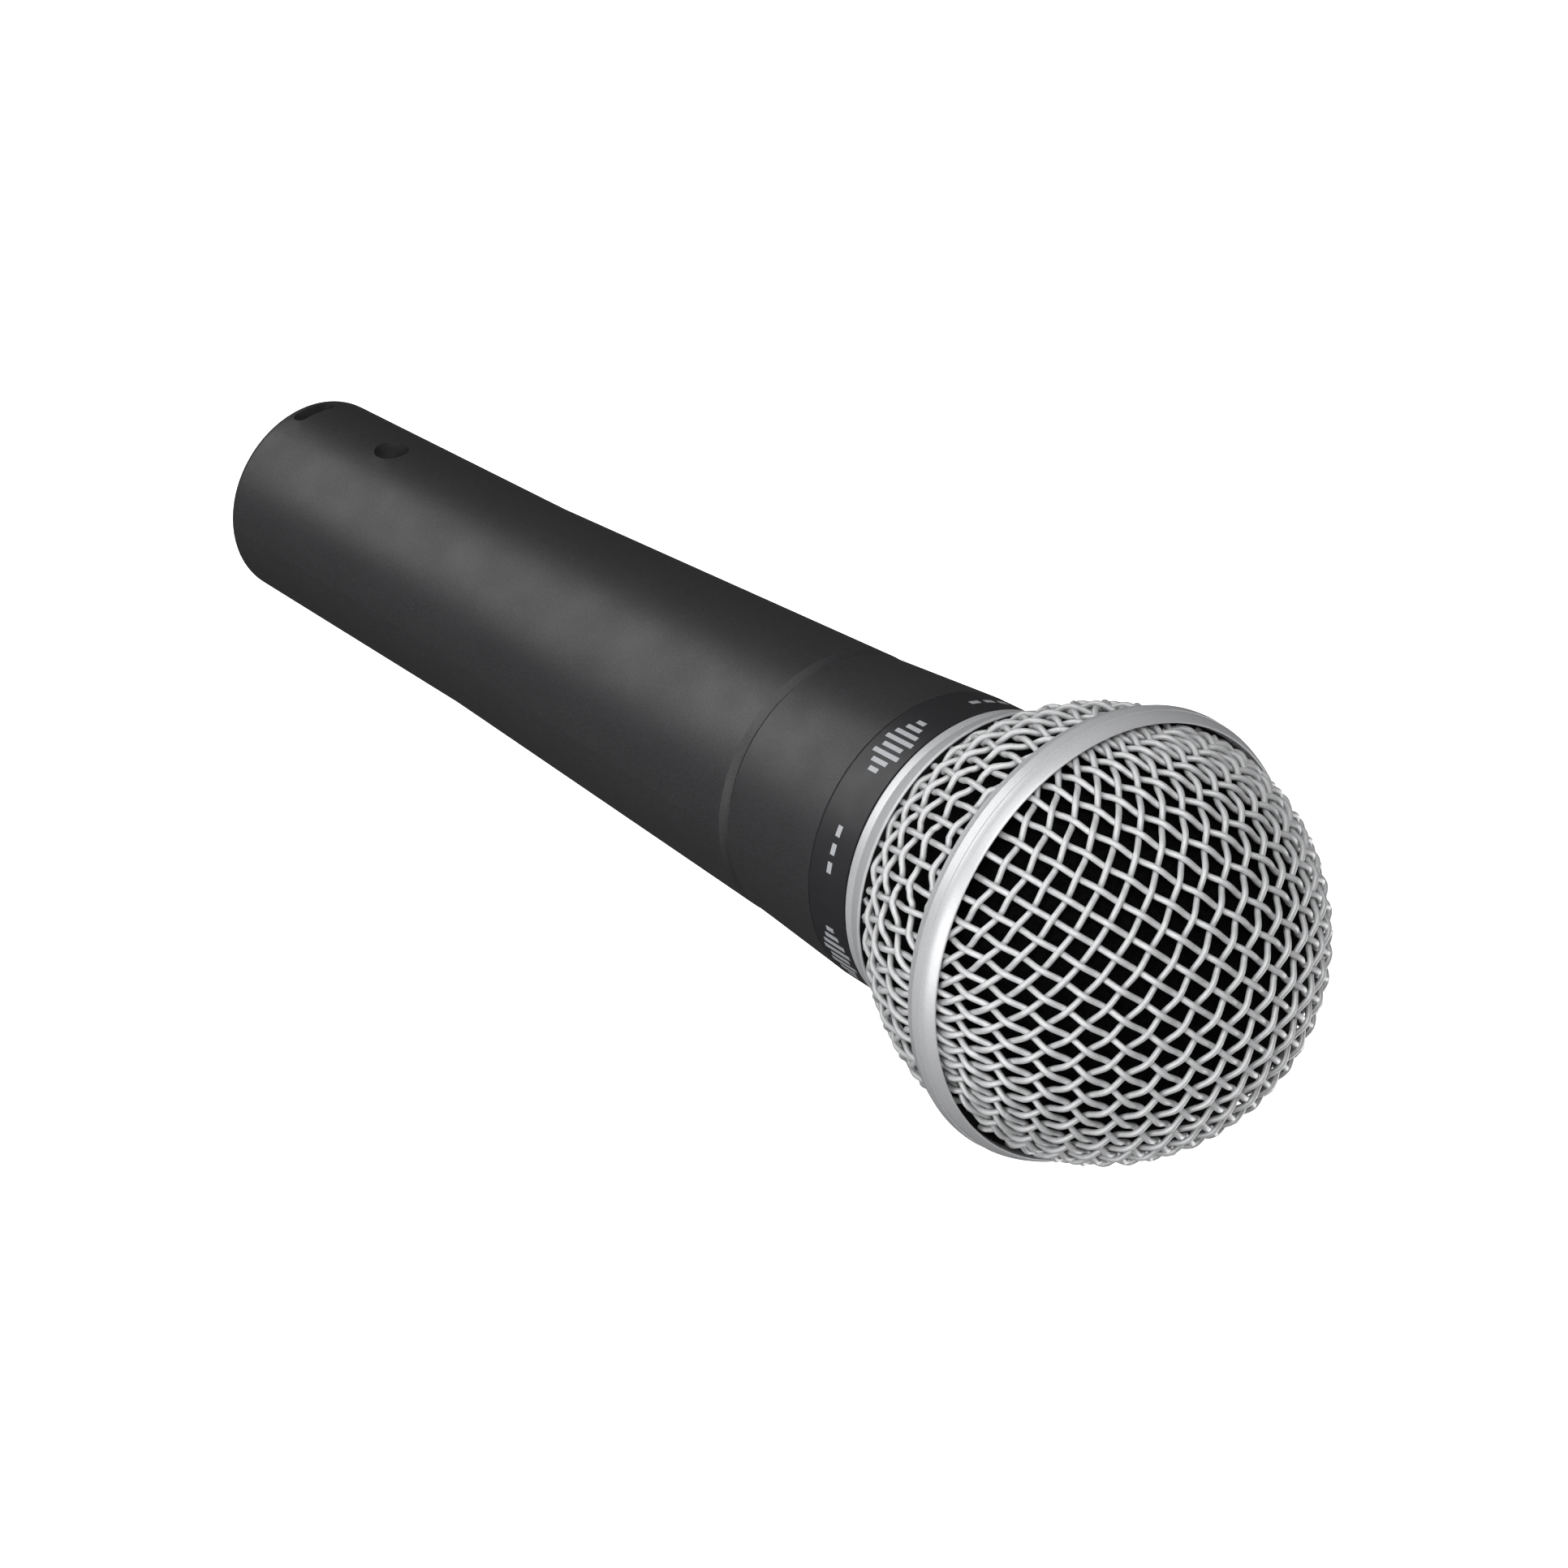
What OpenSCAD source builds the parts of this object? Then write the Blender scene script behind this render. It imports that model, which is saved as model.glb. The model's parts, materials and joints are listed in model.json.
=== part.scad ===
// Handheld dynamic microphone: a ball grille screwed to a head collar, which screws to a
// tapered metal handle with a three-pin XLR socket in its tail.
// +Z runs along the axis from the tail to the ball. The origin is the centre of the tail's end.

/* [Handle] */
// Length of the handle from its tail to the seam
handle_len = 94; // [92:0.5:96]
// Outer diameter of the tail
tail_d = 23; // [22.8:0.1:23.6]
// Outer diameter at the knee, where the taper steepens
knee_d = 24.8; // [24.4:0.1:25.4]
// Height of the knee
knee_z = 38.2; // [36:0.1:40]
// Outer diameter at the seam
seam_d = 30.8; // [30.6:0.1:31.2]
// Wall thickness of the handle
handle_wall = 2.5; // [2.3:0.1:2.6]
// Radius that rounds the edge of the tail
tail_round = 1.3; // [0.8:0.1:1.5]
// Chamfer at the handle's front rim
rim_chamfer = 0.7; // [0.3:0.1:0.9]

/* [Connector] */
// Inner diameter of the XLR socket
socket_d = 16.6; // [16.4:0.1:16.8]
// Depth of the socket down to the face of the insert
socket_depth = 14; // [13.5:0.5:14.5]
// Thickness of the insert
insert_len = 9; // [8:0.5:9.5]
// Diameter of a contact pin
pin_d = 2.4; // [2.2:0.1:2.6]
// Distance of each pin from the axis
pin_offset = 3.81; // [3.7:0.01:3.9]
// Depth of the pin tips inside the tail
pin_recess = 2.5; // [2:0.5:3]
// Diameter of the hole over the set screw
screw_hole_d = 4; // [3.6:0.1:4.4]
// Height of the set screw
screw_z = 16.9; // [16.8:0.1:18]
// Diameter of the set screw
screw_d = 3; // [2.6:0.1:3.2]
// Width of the latch window around the tail
latch_w = 5.3; // [5:0.1:6]
// Height of the latch window along the axis
latch_h = 1.7; // [1.5:0.1:2]
// Height of the latch window's centre
latch_z = 2.3; // [2.2:0.1:2.6]

/* [Head collar] */
// Gap between the handle and the head collar
seam_gap = 0.5; // [0.4:0.1:0.7]
// Height at which the label band starts
crease_z = 109.9; // [109:0.1:111]
// Outer diameter at the start of the label band
crease_d = 33.6; // [33.4:0.1:33.8]
// Height at which the collar's visible outside ends
collar_top_z = 116.1; // [115.8:0.1:116.2]
// Outer diameter at the top of the label band
collar_top_d = 34.04; // [33.9:0.02:34.1]
// Outer diameter of the thread that takes the grille
grille_thread_d = 31.2; // [31:0.1:31.3]
// Outer diameter of the thread that enters the handle
head_thread_d = 25; // [24.8:0.1:25.1]

/* [Grille] */
// Diameter of the band, the widest part
band_d = 50.96; // [50.6:0.02:51.4]
// Height at which the band starts
band_z = 136; // [135.6:0.1:136.2]
// Width of the band along the axis
band_w = 3.84; // [3.6:0.02:4]
// Diameter of the dome over its wires
dome_d = 48.48; // [48.2:0.02:48.6]
// Height of the dome's centre
dome_z = 137.8; // [137.6:0.1:137.9]
// Thickness of the woven mesh, two wires deep
mesh_t = 1.4; // [1.3:0.1:1.6]
// Outer diameter of the rear mesh where it leaves its collar
mesh_rear_d = 35.6; // [35.4:0.1:35.8]
// Diameter of the lip at the top of the grille's collar
ring_lip_d = 36.9; // [36.8:0.1:37.2]
// Outer diameter of the rear mesh where it enters the band
mesh_front_d = 48.6; // [48.4:0.1:48.8]
// Height at which the grille's collar ends
ring_top_z = 120.1; // [120:0.1:120.4]

/* [Capsule] */
// Outer diameter of the capsule's housing
housing_d = 25.2; // [24.8:0.1:25.4]
// Height of the resonator cap's top
cap_top_z = 141; // [140:0.5:141.5]
// Diameter of the voice coil
coil_d = 13.9; // [13.8:0.1:14]
// Height of the diaphragm
diaphragm_z = 131; // [130.8:0.1:131.2]

/* [Hidden] */
$fn = 96;
eps = 0.01;
cut = 1;                                  // how far a cutting tool passes beyond a face
fit_gap = 0.1;                            // radial clearance of a screwed or sliding fit
loose_gap = 0.3;                          // clearance between pieces that pass each other

tail_r = tail_d / 2;
knee_r = knee_d / 2;
seam_r = seam_d / 2;
socket_r = socket_d / 2;
insert_top = socket_depth + insert_len;
shank_r = pin_d / 2 - 0.4;                // radius of a pin inside the insert
lip_top = insert_top + 1.5;               // top of the ledge that stops the insert
cavity_low_r = knee_r - handle_wall - 0.6;
head_thread_bottom = handle_len - 9.5;    // lower end of the head collar's thread
thread_bore_r = head_thread_d / 2 + fit_gap;
cavity_high_r = seam_r - handle_wall - 1;

head_bottom = handle_len + seam_gap;
collar_bore_r = 14.25;                    // inside of the head collar around the capsule
skirt_bore_r = 11.3;                      // inside of the thread that enters the handle
skirt_bore_top = 100;
label_t = 0.4;                            // thickness of the label band
grille_seat_z = collar_top_z + loose_gap;
thread_top = 121.6;                       // top of the thread that takes the grille

band_r = band_d / 2;
band_top = band_z + band_w;
dome_r = dome_d / 2;
dome_cut_z = band_top - 1.1;              // the dome's edge lies below the band's lip
mesh_seat = 0.9;                          // depth of the mesh's edge inside its collar
foam_gap = 0.35;
foam_r = dome_r - mesh_t - foam_gap;
foam_bottom = thread_top + 0.6;

housing_r = housing_d / 2;
housing_bottom = 108;
housing_top = 135;
housing_wall = 1.4;
coil_r = coil_d / 2;
coil_t = 0.6;
plate_top = 127;                          // top of the magnet's outer pole
plate_t = 2.5;
yoke_bottom = 112;
yoke_r = 10.6;
yoke_wall = 1.3;
yoke_floor = 2.5;
magnet_t = 7;
pole_r = coil_r - coil_t - 0.35;
cup_bottom = 79;
cup_r = 9;
cup_wall = 1;
cup_flange = 6;                           // height of the wider end that holds the yoke
film_r = 10.2;                            // outer radius of the diaphragm
board_t = 1.2;
cap_hole_count = 6;
port_count = 12;

core_bottom = 36;                         // lower face of the transformer
core_size = [13.6, 11, 17];
lead_d = 0.9;
capsule_lead_x = 2.2;
capsule_lead_y = 6.2;
lug_len = 2.4;

enamel = [0.20, 0.20, 0.21];
silver = [0.78, 0.78, 0.80];
steel = [0.55, 0.55, 0.57];
black = [0.08, 0.08, 0.08];
copper = [0.72, 0.42, 0.20];
gold = [0.83, 0.66, 0.30];

// Outer radius of the head collar between the seam and the crease
function head_r(z) = seam_r + (crease_d / 2 - seam_r) * (z - head_bottom) / (crease_z - head_bottom);

// Position of pin number 1, 2 or 3
function pin_xy(number) = number == 1 ? [pin_offset, 0] : number == 2 ? [-pin_offset, 0] : [0, pin_offset];

// Outer radius of the rear mesh, a cone that bulges
mesh_bulge = 1.7;
function mesh_r(z) =
    let (t = (z - ring_top_z) / (band_z - ring_top_z))
    (mesh_rear_d + (mesh_front_d - mesh_rear_d) * t) / 2 + mesh_bulge * 4 * t * (1 - t);

// A tube between two heights
module tube(low, high, outer_r, inner_r) {
    difference() {
        translate([0, 0, low]) cylinder(r = outer_r, h = high - low);
        translate([0, 0, low - cut]) cylinder(r = inner_r, h = high - low + 2 * cut);
    }
}

// A rod between two heights at a point beside the axis
module rod(xy, low, high, r) {
    translate([xy[0], xy[1], low]) cylinder(r = r, h = high - low, $fn = 32);
}

// A slot with round ends, cut through the wall on the -Y side
module latch_slot() {
    reach = (latch_w - latch_h) / 2;
    for (side = [-1, 1])
        translate([side * reach, 0, latch_z]) rotate([90, 0, 0])
            cylinder(d = latch_h, h = tail_r + cut, $fn = 48);
    translate([-reach, -tail_r - cut, latch_z - latch_h / 2])
        cube([2 * reach, tail_r + cut, latch_h]);
}

module handle_outline() {
    polygon([[0, 0], [tail_r - tail_round, 0], [tail_r - tail_round, tail_round],
             [tail_r, tail_round], [knee_r, knee_z], [seam_r, handle_len - rim_chamfer],
             [seam_r - rim_chamfer, handle_len], [0, handle_len]]);
    translate([tail_r - tail_round, tail_round]) circle(r = tail_round, $fn = 48);
}

module handle_shell() {
    mouth_chamfer = 0.6;
    color(enamel) difference() {
        rotate_extrude() handle_outline();
        rotate_extrude() polygon([
            [0, -cut], [socket_r + mouth_chamfer + cut, -cut], [socket_r, mouth_chamfer],
            [socket_r, insert_top + fit_gap], [socket_r - 0.9, insert_top + fit_gap],
            [socket_r - 0.9, lip_top], [cavity_low_r, lip_top + 0.6], [cavity_low_r + 0.6, knee_z],
            [cavity_high_r, head_thread_bottom - 3], [thread_bore_r, head_thread_bottom - 2],
            [thread_bore_r, handle_len + cut], [0, handle_len + cut]]);
        latch_slot();
        translate([0, 0, screw_z]) rotate([90, 0, 0])
            cylinder(d = screw_hole_d, h = tail_r + 2 * cut, $fn = 48);
    }
}

module xlr_insert() {
    screw_bore_r = screw_d / 2 + 0.05;
    pin_hole_r = shank_r + 0.02;
    color(black) difference() {
        translate([0, 0, socket_depth]) cylinder(r = socket_r - 0.05, h = insert_len);
        for (number = [1, 2, 3])
            rod(pin_xy(number), socket_depth - cut, insert_top + cut, pin_hole_r);
        translate([0, -screw_d, screw_z]) rotate([90, 0, 0])
            cylinder(r = screw_bore_r, h = socket_r, $fn = 48);
    }
}

// A contact with a tapered tip, a thinner shank in the insert and a hollow end for its wire
module xlr_pin(number) {
    tip = 0.8;
    cup_len = 3;
    r = pin_d / 2;
    color(gold) {
        rod(pin_xy(number), pin_recess + tip, socket_depth, r);
        difference() {
            rod(pin_xy(number), socket_depth - eps, insert_top + cup_len, shank_r);
            rod(pin_xy(number), insert_top + 1, insert_top + cup_len + cut, shank_r * 0.6);
        }
        translate([pin_xy(number)[0], pin_xy(number)[1], pin_recess])
            cylinder(r1 = r * 0.5, r2 = r, h = tip, $fn = 32);
    }
}

module xlr_set_screw() {
    inner_y = screw_d + 0.6;
    outer_y = tail_r - 1.9;
    slot_w = 0.6;
    slot_deep = 0.8;
    color(steel) difference() {
        translate([0, -inner_y, screw_z]) rotate([90, 0, 0])
            cylinder(d = screw_d, h = outer_y - inner_y, $fn = 48);
        translate([-screw_d, -outer_y - cut, screw_z - slot_w / 2])
            cube([2 * screw_d, slot_deep + cut, slot_w]);
    }
}

module tail_leads() {
    color(copper) for (number = [1, 2, 3])
        rod(pin_xy(number), insert_top + 1.2, core_bottom - 0.05, lead_d / 2);
}

// The transformer's laminated frame: a block with a window on each side of its middle leg
module transformer_core() {
    window = [3, core_size[1] + 2 * cut, 10];
    color(steel) difference() {
        translate([-core_size[0] / 2, -core_size[1] / 2, core_bottom]) cube(core_size);
        for (side = [-1, 1])
            translate([side * 3.6 - window[0] / 2, -window[1] / 2,
                       core_bottom + (core_size[2] - window[2]) / 2]) cube(window);
    }
}

// The winding fills both windows and passes over both faces of the frame
module transformer_coil() {
    deep = core_size[1] / 2 + 0.1;
    proud = 1.6;
    low = core_bottom + 4;
    high = core_bottom + core_size[2] - 4;
    inside_x = 2.2;
    outside_x = 5;
    color(copper) {
        for (side = [-1, 1])
            translate([side > 0 ? inside_x : -outside_x, -deep - proud, low])
                cube([outside_x - inside_x, 2 * (deep + proud), high - low]);
        for (side = [-1, 1])
            translate([-outside_x, side > 0 ? deep : -deep - proud, low])
                cube([2 * outside_x, proud, high - low]);
    }
}

// The resin that holds the transformer in the handle
module transformer_potting() {
    low = core_bottom + 0.5;
    high = core_bottom + 3.6;
    gap = 0.05;
    color(black) difference() {
        translate([0, 0, low]) cylinder(r = cavity_low_r + 0.4, h = high - low);
        translate([-core_size[0] / 2 - gap, -core_size[1] / 2 - gap, low - cut])
            cube([core_size[0] + 2 * gap, core_size[1] + 2 * gap, high - low + 2 * cut]);
    }
}

module capsule_leads() {
    color(copper) for (side = [-1, 1])
        rod([side * capsule_lead_x, capsule_lead_y - 1.6], core_bottom + core_size[2] + 0.05,
            cup_bottom - board_t - lug_len - 0.1, lead_d / 2);
}

module seam_gasket() {
    color(black) tube(handle_len + 0.05, head_bottom - 0.05, seam_r - 1, thread_bore_r + 0.1);
}

module head_collar() {
    edge = 0.3;
    color(enamel) rotate_extrude() polygon([
        [skirt_bore_r, head_thread_bottom], [head_thread_d / 2, head_thread_bottom],
        [head_thread_d / 2, head_bottom], [seam_r - edge, head_bottom],
        [head_r(head_bottom + edge), head_bottom + edge], [crease_d / 2, crease_z],
        [crease_d / 2 - label_t, crease_z + 0.1], [collar_top_d / 2 - label_t, collar_top_z],
        [grille_thread_d / 2, collar_top_z], [grille_thread_d / 2, thread_top - edge],
        [grille_thread_d / 2 - edge, thread_top], [collar_bore_r, thread_top],
        [collar_bore_r, skirt_bore_top], [skirt_bore_r, skirt_bore_top]]);
}

module label_band() {
    gap = 0.03;
    color([0.24, 0.24, 0.25]) rotate_extrude() polygon([
        [crease_d / 2 - label_t + gap, crease_z + 0.2], [crease_d / 2, crease_z + 0.2],
        [collar_top_d / 2, collar_top_z], [collar_top_d / 2 - label_t + gap, collar_top_z]]);
}

// A rubber ring with a bead on the collar, a bead on the capsule and a thin web between them
module shock_mount() {
    low = 111;
    color(black) rotate_extrude() polygon([
        [collar_bore_r - 0.05, low], [collar_bore_r - 0.05, low + 4], [collar_bore_r - 0.7, low + 4],
        [collar_bore_r - 0.7, low + 7], [housing_r + 0.05, low + 7], [housing_r + 0.05, low + 3],
        [housing_r + 0.4, low + 3], [housing_r + 0.4, low]]);
}

module cavity_cup() {
    top = yoke_bottom - 0.05;
    color(black) difference() {
        union() {
            translate([0, 0, cup_bottom]) cylinder(r = cup_r, h = top - cup_bottom);
            translate([0, 0, top - cup_flange]) cylinder(r = yoke_r, h = cup_flange);
        }
        translate([0, 0, cup_bottom + cup_wall]) cylinder(r = cup_r - cup_wall, h = 60);
    }
}

module terminal_board() {
    color([0.35, 0.22, 0.10])
        translate([0, 0, cup_bottom - board_t]) cylinder(r = 8, h = board_t - 0.02);
}

module terminal_lugs() {
    top = cup_bottom - board_t - 0.02;
    color(gold) for (side = [-1, 1])
        translate([side * capsule_lead_x - 0.8, capsule_lead_y - 2.4, top - lug_len])
            cube([1.6, 1.6, lug_len]);
}

// The capsule's outer tube, with slotted ports that let sound reach the diaphragm's rear
module cartridge_housing() {
    port_low = 123.3;
    port_high = 127;
    port_w = 2.2;
    seat_r = yoke_r + 0.05;
    color(black) difference() {
        translate([0, 0, housing_bottom]) cylinder(r = housing_r, h = housing_top - housing_bottom);
        translate([0, 0, housing_bottom - cut]) cylinder(r = seat_r, h = 60);
        translate([0, 0, port_low - 1]) cylinder(r = housing_r - housing_wall + 0.4, h = 60);
        for (turn = [0 : port_count - 1]) rotate(turn * 360 / port_count)
            translate([0, -port_w / 2, port_low]) cube([housing_r + cut, port_w, port_high - port_low]);
    }
}

module rear_port_screen() {
    inner_r = housing_r - housing_wall;
    color([0.15, 0.15, 0.15]) tube(122.6, plate_top + 0.5, inner_r + 0.3, inner_r);
}

module yoke() {
    color(steel) difference() {
        translate([0, 0, yoke_bottom]) cylinder(r = yoke_r, h = plate_top - plate_t - yoke_bottom - 0.02);
        translate([0, 0, yoke_bottom + yoke_floor]) cylinder(r = yoke_r - yoke_wall, h = 60);
    }
}

module magnet() {
    color([0.30, 0.30, 0.32]) translate([0, 0, yoke_bottom + yoke_floor + 0.02])
        cylinder(r = pole_r + 0.2, h = magnet_t - 0.04);
}

module pole_piece() {
    low = yoke_bottom + yoke_floor + magnet_t;
    color(steel) translate([0, 0, low]) cylinder(r = pole_r, h = plate_top - low);
}

module top_plate() {
    color(steel) tube(plate_top - plate_t, plate_top, yoke_r, coil_r + 0.45);
}

module diaphragm_ring() {
    color(copper) tube(plate_top + 0.6, diaphragm_z + 1.4, housing_r - housing_wall + 0.3, film_r + 0.4);
}

// A thin dome with a flat surround, which carries the voice coil
module diaphragm() {
    film = 0.2;
    dome_rise = 2;
    rise_r = (coil_r * coil_r + dome_rise * dome_rise) / (2 * dome_rise);
    color([0.75, 0.70, 0.50]) {
        tube(diaphragm_z, diaphragm_z + film, film_r, coil_r - coil_t);
        intersection() {
            translate([0, 0, diaphragm_z + film + dome_rise - rise_r]) difference() {
                sphere(r = rise_r);
                sphere(r = rise_r - film);
            }
            translate([0, 0, diaphragm_z]) cylinder(r = coil_r - coil_t / 2, h = dome_rise + 1);
        }
    }
}

module voice_coil() {
    color(copper) tube(plate_top - plate_t - 1, diaphragm_z - 0.02, coil_r, coil_r - coil_t);
}

module front_screen() {
    color([0.15, 0.15, 0.15])
        translate([0, 0, housing_top - 0.4]) cylinder(r = housing_r - housing_wall + 0.2, h = 0.35);
}

// The cap over the diaphragm, whose holes tune the highest notes
module resonator_cap() {
    hole_r = 1.6;
    hole_ring = 7.4;
    edge = 1.2;
    color([0.16, 0.16, 0.17]) difference() {
        rotate_extrude() polygon([
            [0, cap_top_z], [housing_r - 5 * edge, cap_top_z],
            [housing_r - edge, cap_top_z - 1.4], [housing_r, cap_top_z - 1.4 - edge],
            [housing_r, housing_top + 0.02], [housing_r - housing_wall, housing_top + 0.02],
            [housing_r - housing_wall, housing_top + 2.6], [0, housing_top + 2.6]]);
        for (turn = [0 : cap_hole_count - 1]) rotate(turn * 360 / cap_hole_count)
            rod([hole_ring, 0], housing_top, cap_top_z + cut, hole_r);
        rod([0, 0], housing_top, cap_top_z + cut, hole_r);
    }
}

// The foam that lines the grille, with a hollow for the capsule
module foam_windscreen() {
    hollow_r = housing_r + 2;
    hollow_top = cap_top_z + 2.3;
    inset = mesh_t + foam_gap;
    stations = 6;
    color(black) difference() {
        union() {
            difference() {
                translate([0, 0, dome_z]) sphere(r = foam_r);
                translate([-band_r, -band_r, dome_z - 2 * band_r]) cube(2 * band_r);
            }
            rotate_extrude() polygon(concat(
                [[0, foam_bottom]],
                [for (i = [0 : stations]) let (z = foam_bottom + (band_z - foam_bottom) * i / stations)
                    [min(mesh_r(z) - inset - 0.15, foam_r), z]],
                [[foam_r, dome_z], [0, dome_z]]));
        }
        translate([0, 0, foam_bottom - cut])
            cylinder(r = hollow_r, h = hollow_top - foam_bottom + cut - 2);
        translate([0, 0, hollow_top - 2 - eps]) cylinder(r1 = hollow_r, r2 = hollow_r - 4, h = 2);
    }
}

// The ring that screws onto the head collar, in two steps with a groove between them
module grille_collar() {
    inner_r = grille_thread_d / 2 + 0.15;
    recess_z = ring_top_z - mesh_seat;
    low = grille_seat_z;
    color(silver) rotate_extrude() polygon([
        [inner_r, low], [collar_top_d / 2, low], [collar_top_d / 2 + 0.35, low + 0.3],
        [collar_top_d / 2 + 0.45, low + 1.4], [collar_top_d / 2 + 0.3, low + 1.5],
        [collar_top_d / 2 + 0.3, low + 1.7], [collar_top_d / 2 + 0.75, low + 1.9],
        [ring_lip_d / 2, ring_top_z - 0.3], [ring_lip_d / 2 - 0.1, ring_top_z],
        [ring_lip_d / 2 - 0.3, ring_top_z], [mesh_rear_d / 2 + 0.1, recess_z], [inner_r, recess_z]]);
}

module grille_rear_mesh() {
    stations = 6;
    low = ring_top_z - mesh_seat + 0.02;
    high = band_z + 1.4;
    function height(i) = low + (high - low) * i / stations;
    function outer(z) = min(mesh_r(z), mesh_front_d / 2 - 0.15);
    color([0.6, 0.6, 0.62]) rotate_extrude() polygon(concat(
        [for (i = [0 : stations]) [outer(height(i)), height(i)]],
        [for (i = [stations : -1 : 0]) [outer(height(i)) - mesh_t, height(i)]]));
}

// The band round the ball's widest part: a narrow rear bevel, a ridge and a main face
module grille_band() {
    seat_r = mesh_front_d / 2 + 0.2;
    color(silver) rotate_extrude() polygon([
        [seat_r, band_z], [band_r - 0.35, band_z], [band_r - 0.05, band_z + 0.75],
        [band_r, band_z + 1], [band_r - 0.12, band_z + 2.4], [band_r - 0.6, band_z + 3.5],
        [band_r - 0.76, band_top], [band_r - 0.95, band_top], [dome_r + 0.1, band_top - 0.9],
        [dome_r + 0.1, band_z + 1.5], [seat_r, band_z + 1.5]]);
}

module grille_dome() {
    color([0.6, 0.6, 0.62]) difference() {
        translate([0, 0, dome_z]) sphere(r = dome_r);
        translate([0, 0, dome_z]) sphere(r = dome_r - mesh_t);
        translate([-band_r, -band_r, dome_cut_z - 2 * band_r]) cube(2 * band_r);
    }
}

handle_shell();
xlr_insert();
xlr_pin(1);  // xlr_pin_1
xlr_pin(2);  // xlr_pin_2
xlr_pin(3);  // xlr_pin_3
xlr_set_screw();
tail_leads();
transformer_core();
transformer_coil();
transformer_potting();
capsule_leads();
seam_gasket();
head_collar();
label_band();
shock_mount();
cavity_cup();
terminal_board();
terminal_lugs();
cartridge_housing();
rear_port_screen();
yoke();
magnet();
pole_piece();
top_plate();
diaphragm_ring();
diaphragm();
voice_coil();
front_screen();
resonator_cap();
foam_windscreen();
grille_collar();
grille_rear_mesh();
grille_band();
grille_dome();
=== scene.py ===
import json
import math

import bpy
import numpy as np
from mathutils import Matrix, Vector, noise


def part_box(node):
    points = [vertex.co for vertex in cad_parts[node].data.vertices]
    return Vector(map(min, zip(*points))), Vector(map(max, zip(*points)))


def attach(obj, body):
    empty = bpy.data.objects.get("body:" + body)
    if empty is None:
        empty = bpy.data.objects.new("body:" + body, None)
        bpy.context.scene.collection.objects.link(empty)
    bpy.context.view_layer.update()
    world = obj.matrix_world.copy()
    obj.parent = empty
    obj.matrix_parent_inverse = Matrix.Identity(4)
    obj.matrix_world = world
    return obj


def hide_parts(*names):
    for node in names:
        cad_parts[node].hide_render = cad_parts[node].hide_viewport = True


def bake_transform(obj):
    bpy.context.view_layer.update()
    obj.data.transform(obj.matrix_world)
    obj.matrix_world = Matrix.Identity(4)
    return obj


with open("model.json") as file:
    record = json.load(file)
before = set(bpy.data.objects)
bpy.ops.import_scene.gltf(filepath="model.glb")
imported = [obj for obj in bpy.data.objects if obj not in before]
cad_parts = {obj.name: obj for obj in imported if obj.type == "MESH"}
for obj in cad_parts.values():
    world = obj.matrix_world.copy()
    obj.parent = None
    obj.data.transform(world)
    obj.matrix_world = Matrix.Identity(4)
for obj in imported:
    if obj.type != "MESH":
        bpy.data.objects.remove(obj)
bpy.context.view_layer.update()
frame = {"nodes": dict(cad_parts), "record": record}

# A handheld dynamic microphone. +Z runs from its tail to its ball; sizes are in metres.
MM = 0.001
scene = bpy.context.scene


def low(node):
    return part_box(node)[0]


def high(node):
    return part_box(node)[1]


# ---------------------------------------------------------------- places taken from the frame

WIRE_D = 0.70 * MM
DOME_OUTER_R = 24.24 * MM
DOME_TOP = high("grille_dome").z
DOME_CENTRE = Vector((0, 0, DOME_TOP - DOME_OUTER_R))
DOME_MID_R = DOME_OUTER_R - WIRE_D

BAND_LOW = low("grille_band").z
BAND_TOP = high("grille_band").z
BAND_R = high("grille_band").x
RING_LOW = low("grille_collar").z
RING_TOP = high("grille_collar").z
RING_LIP_R = high("grille_collar").x
MESH_LOW = low("grille_rear_mesh").z
MESH_TOP = high("grille_rear_mesh").z
MESH_REAR_R = 17.8 * MM
MESH_FRONT_R = 24.3 * MM
MESH_BULGE = 1.7 * MM
LABEL_LOW = low("label_band").z
LABEL_TOP = high("label_band").z
LABEL_TOP_R = high("label_band").x
LABEL_LOW_R = 16.8 * MM


# ---------------------------------------------------------------- mesh helpers

def mesh_object(name, vertices, faces, material, smooth_angle=math.radians(40)):
    mesh = bpy.data.meshes.new(name)
    mesh.from_pydata([tuple(v) for v in vertices], [], faces)
    mesh.validate()
    mesh.polygons.foreach_set("use_smooth", [True] * len(mesh.polygons))
    mesh.set_sharp_from_angle(angle=smooth_angle)
    mesh.materials.append(material)
    piece = bpy.data.objects.new(name, mesh)
    scene.collection.objects.link(piece)
    return piece


def lathe(name, outline, material, segments=192, smooth_angle=math.radians(40)):
    """A solid of revolution about Z from a closed outline of (radius, height) points."""
    turns = np.arange(segments) * 2 * math.pi / segments
    vertices = []
    for r, z in outline:
        vertices += [(r * math.cos(t), r * math.sin(t), z) for t in turns]
    count = len(outline)
    faces = []
    for i in range(count):
        j = (i + 1) % count
        for k in range(segments):
            n = (k + 1) % segments
            faces.append((i * segments + k, i * segments + n, j * segments + n, j * segments + k))
    return mesh_object(name, vertices, faces, material, smooth_angle)


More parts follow.
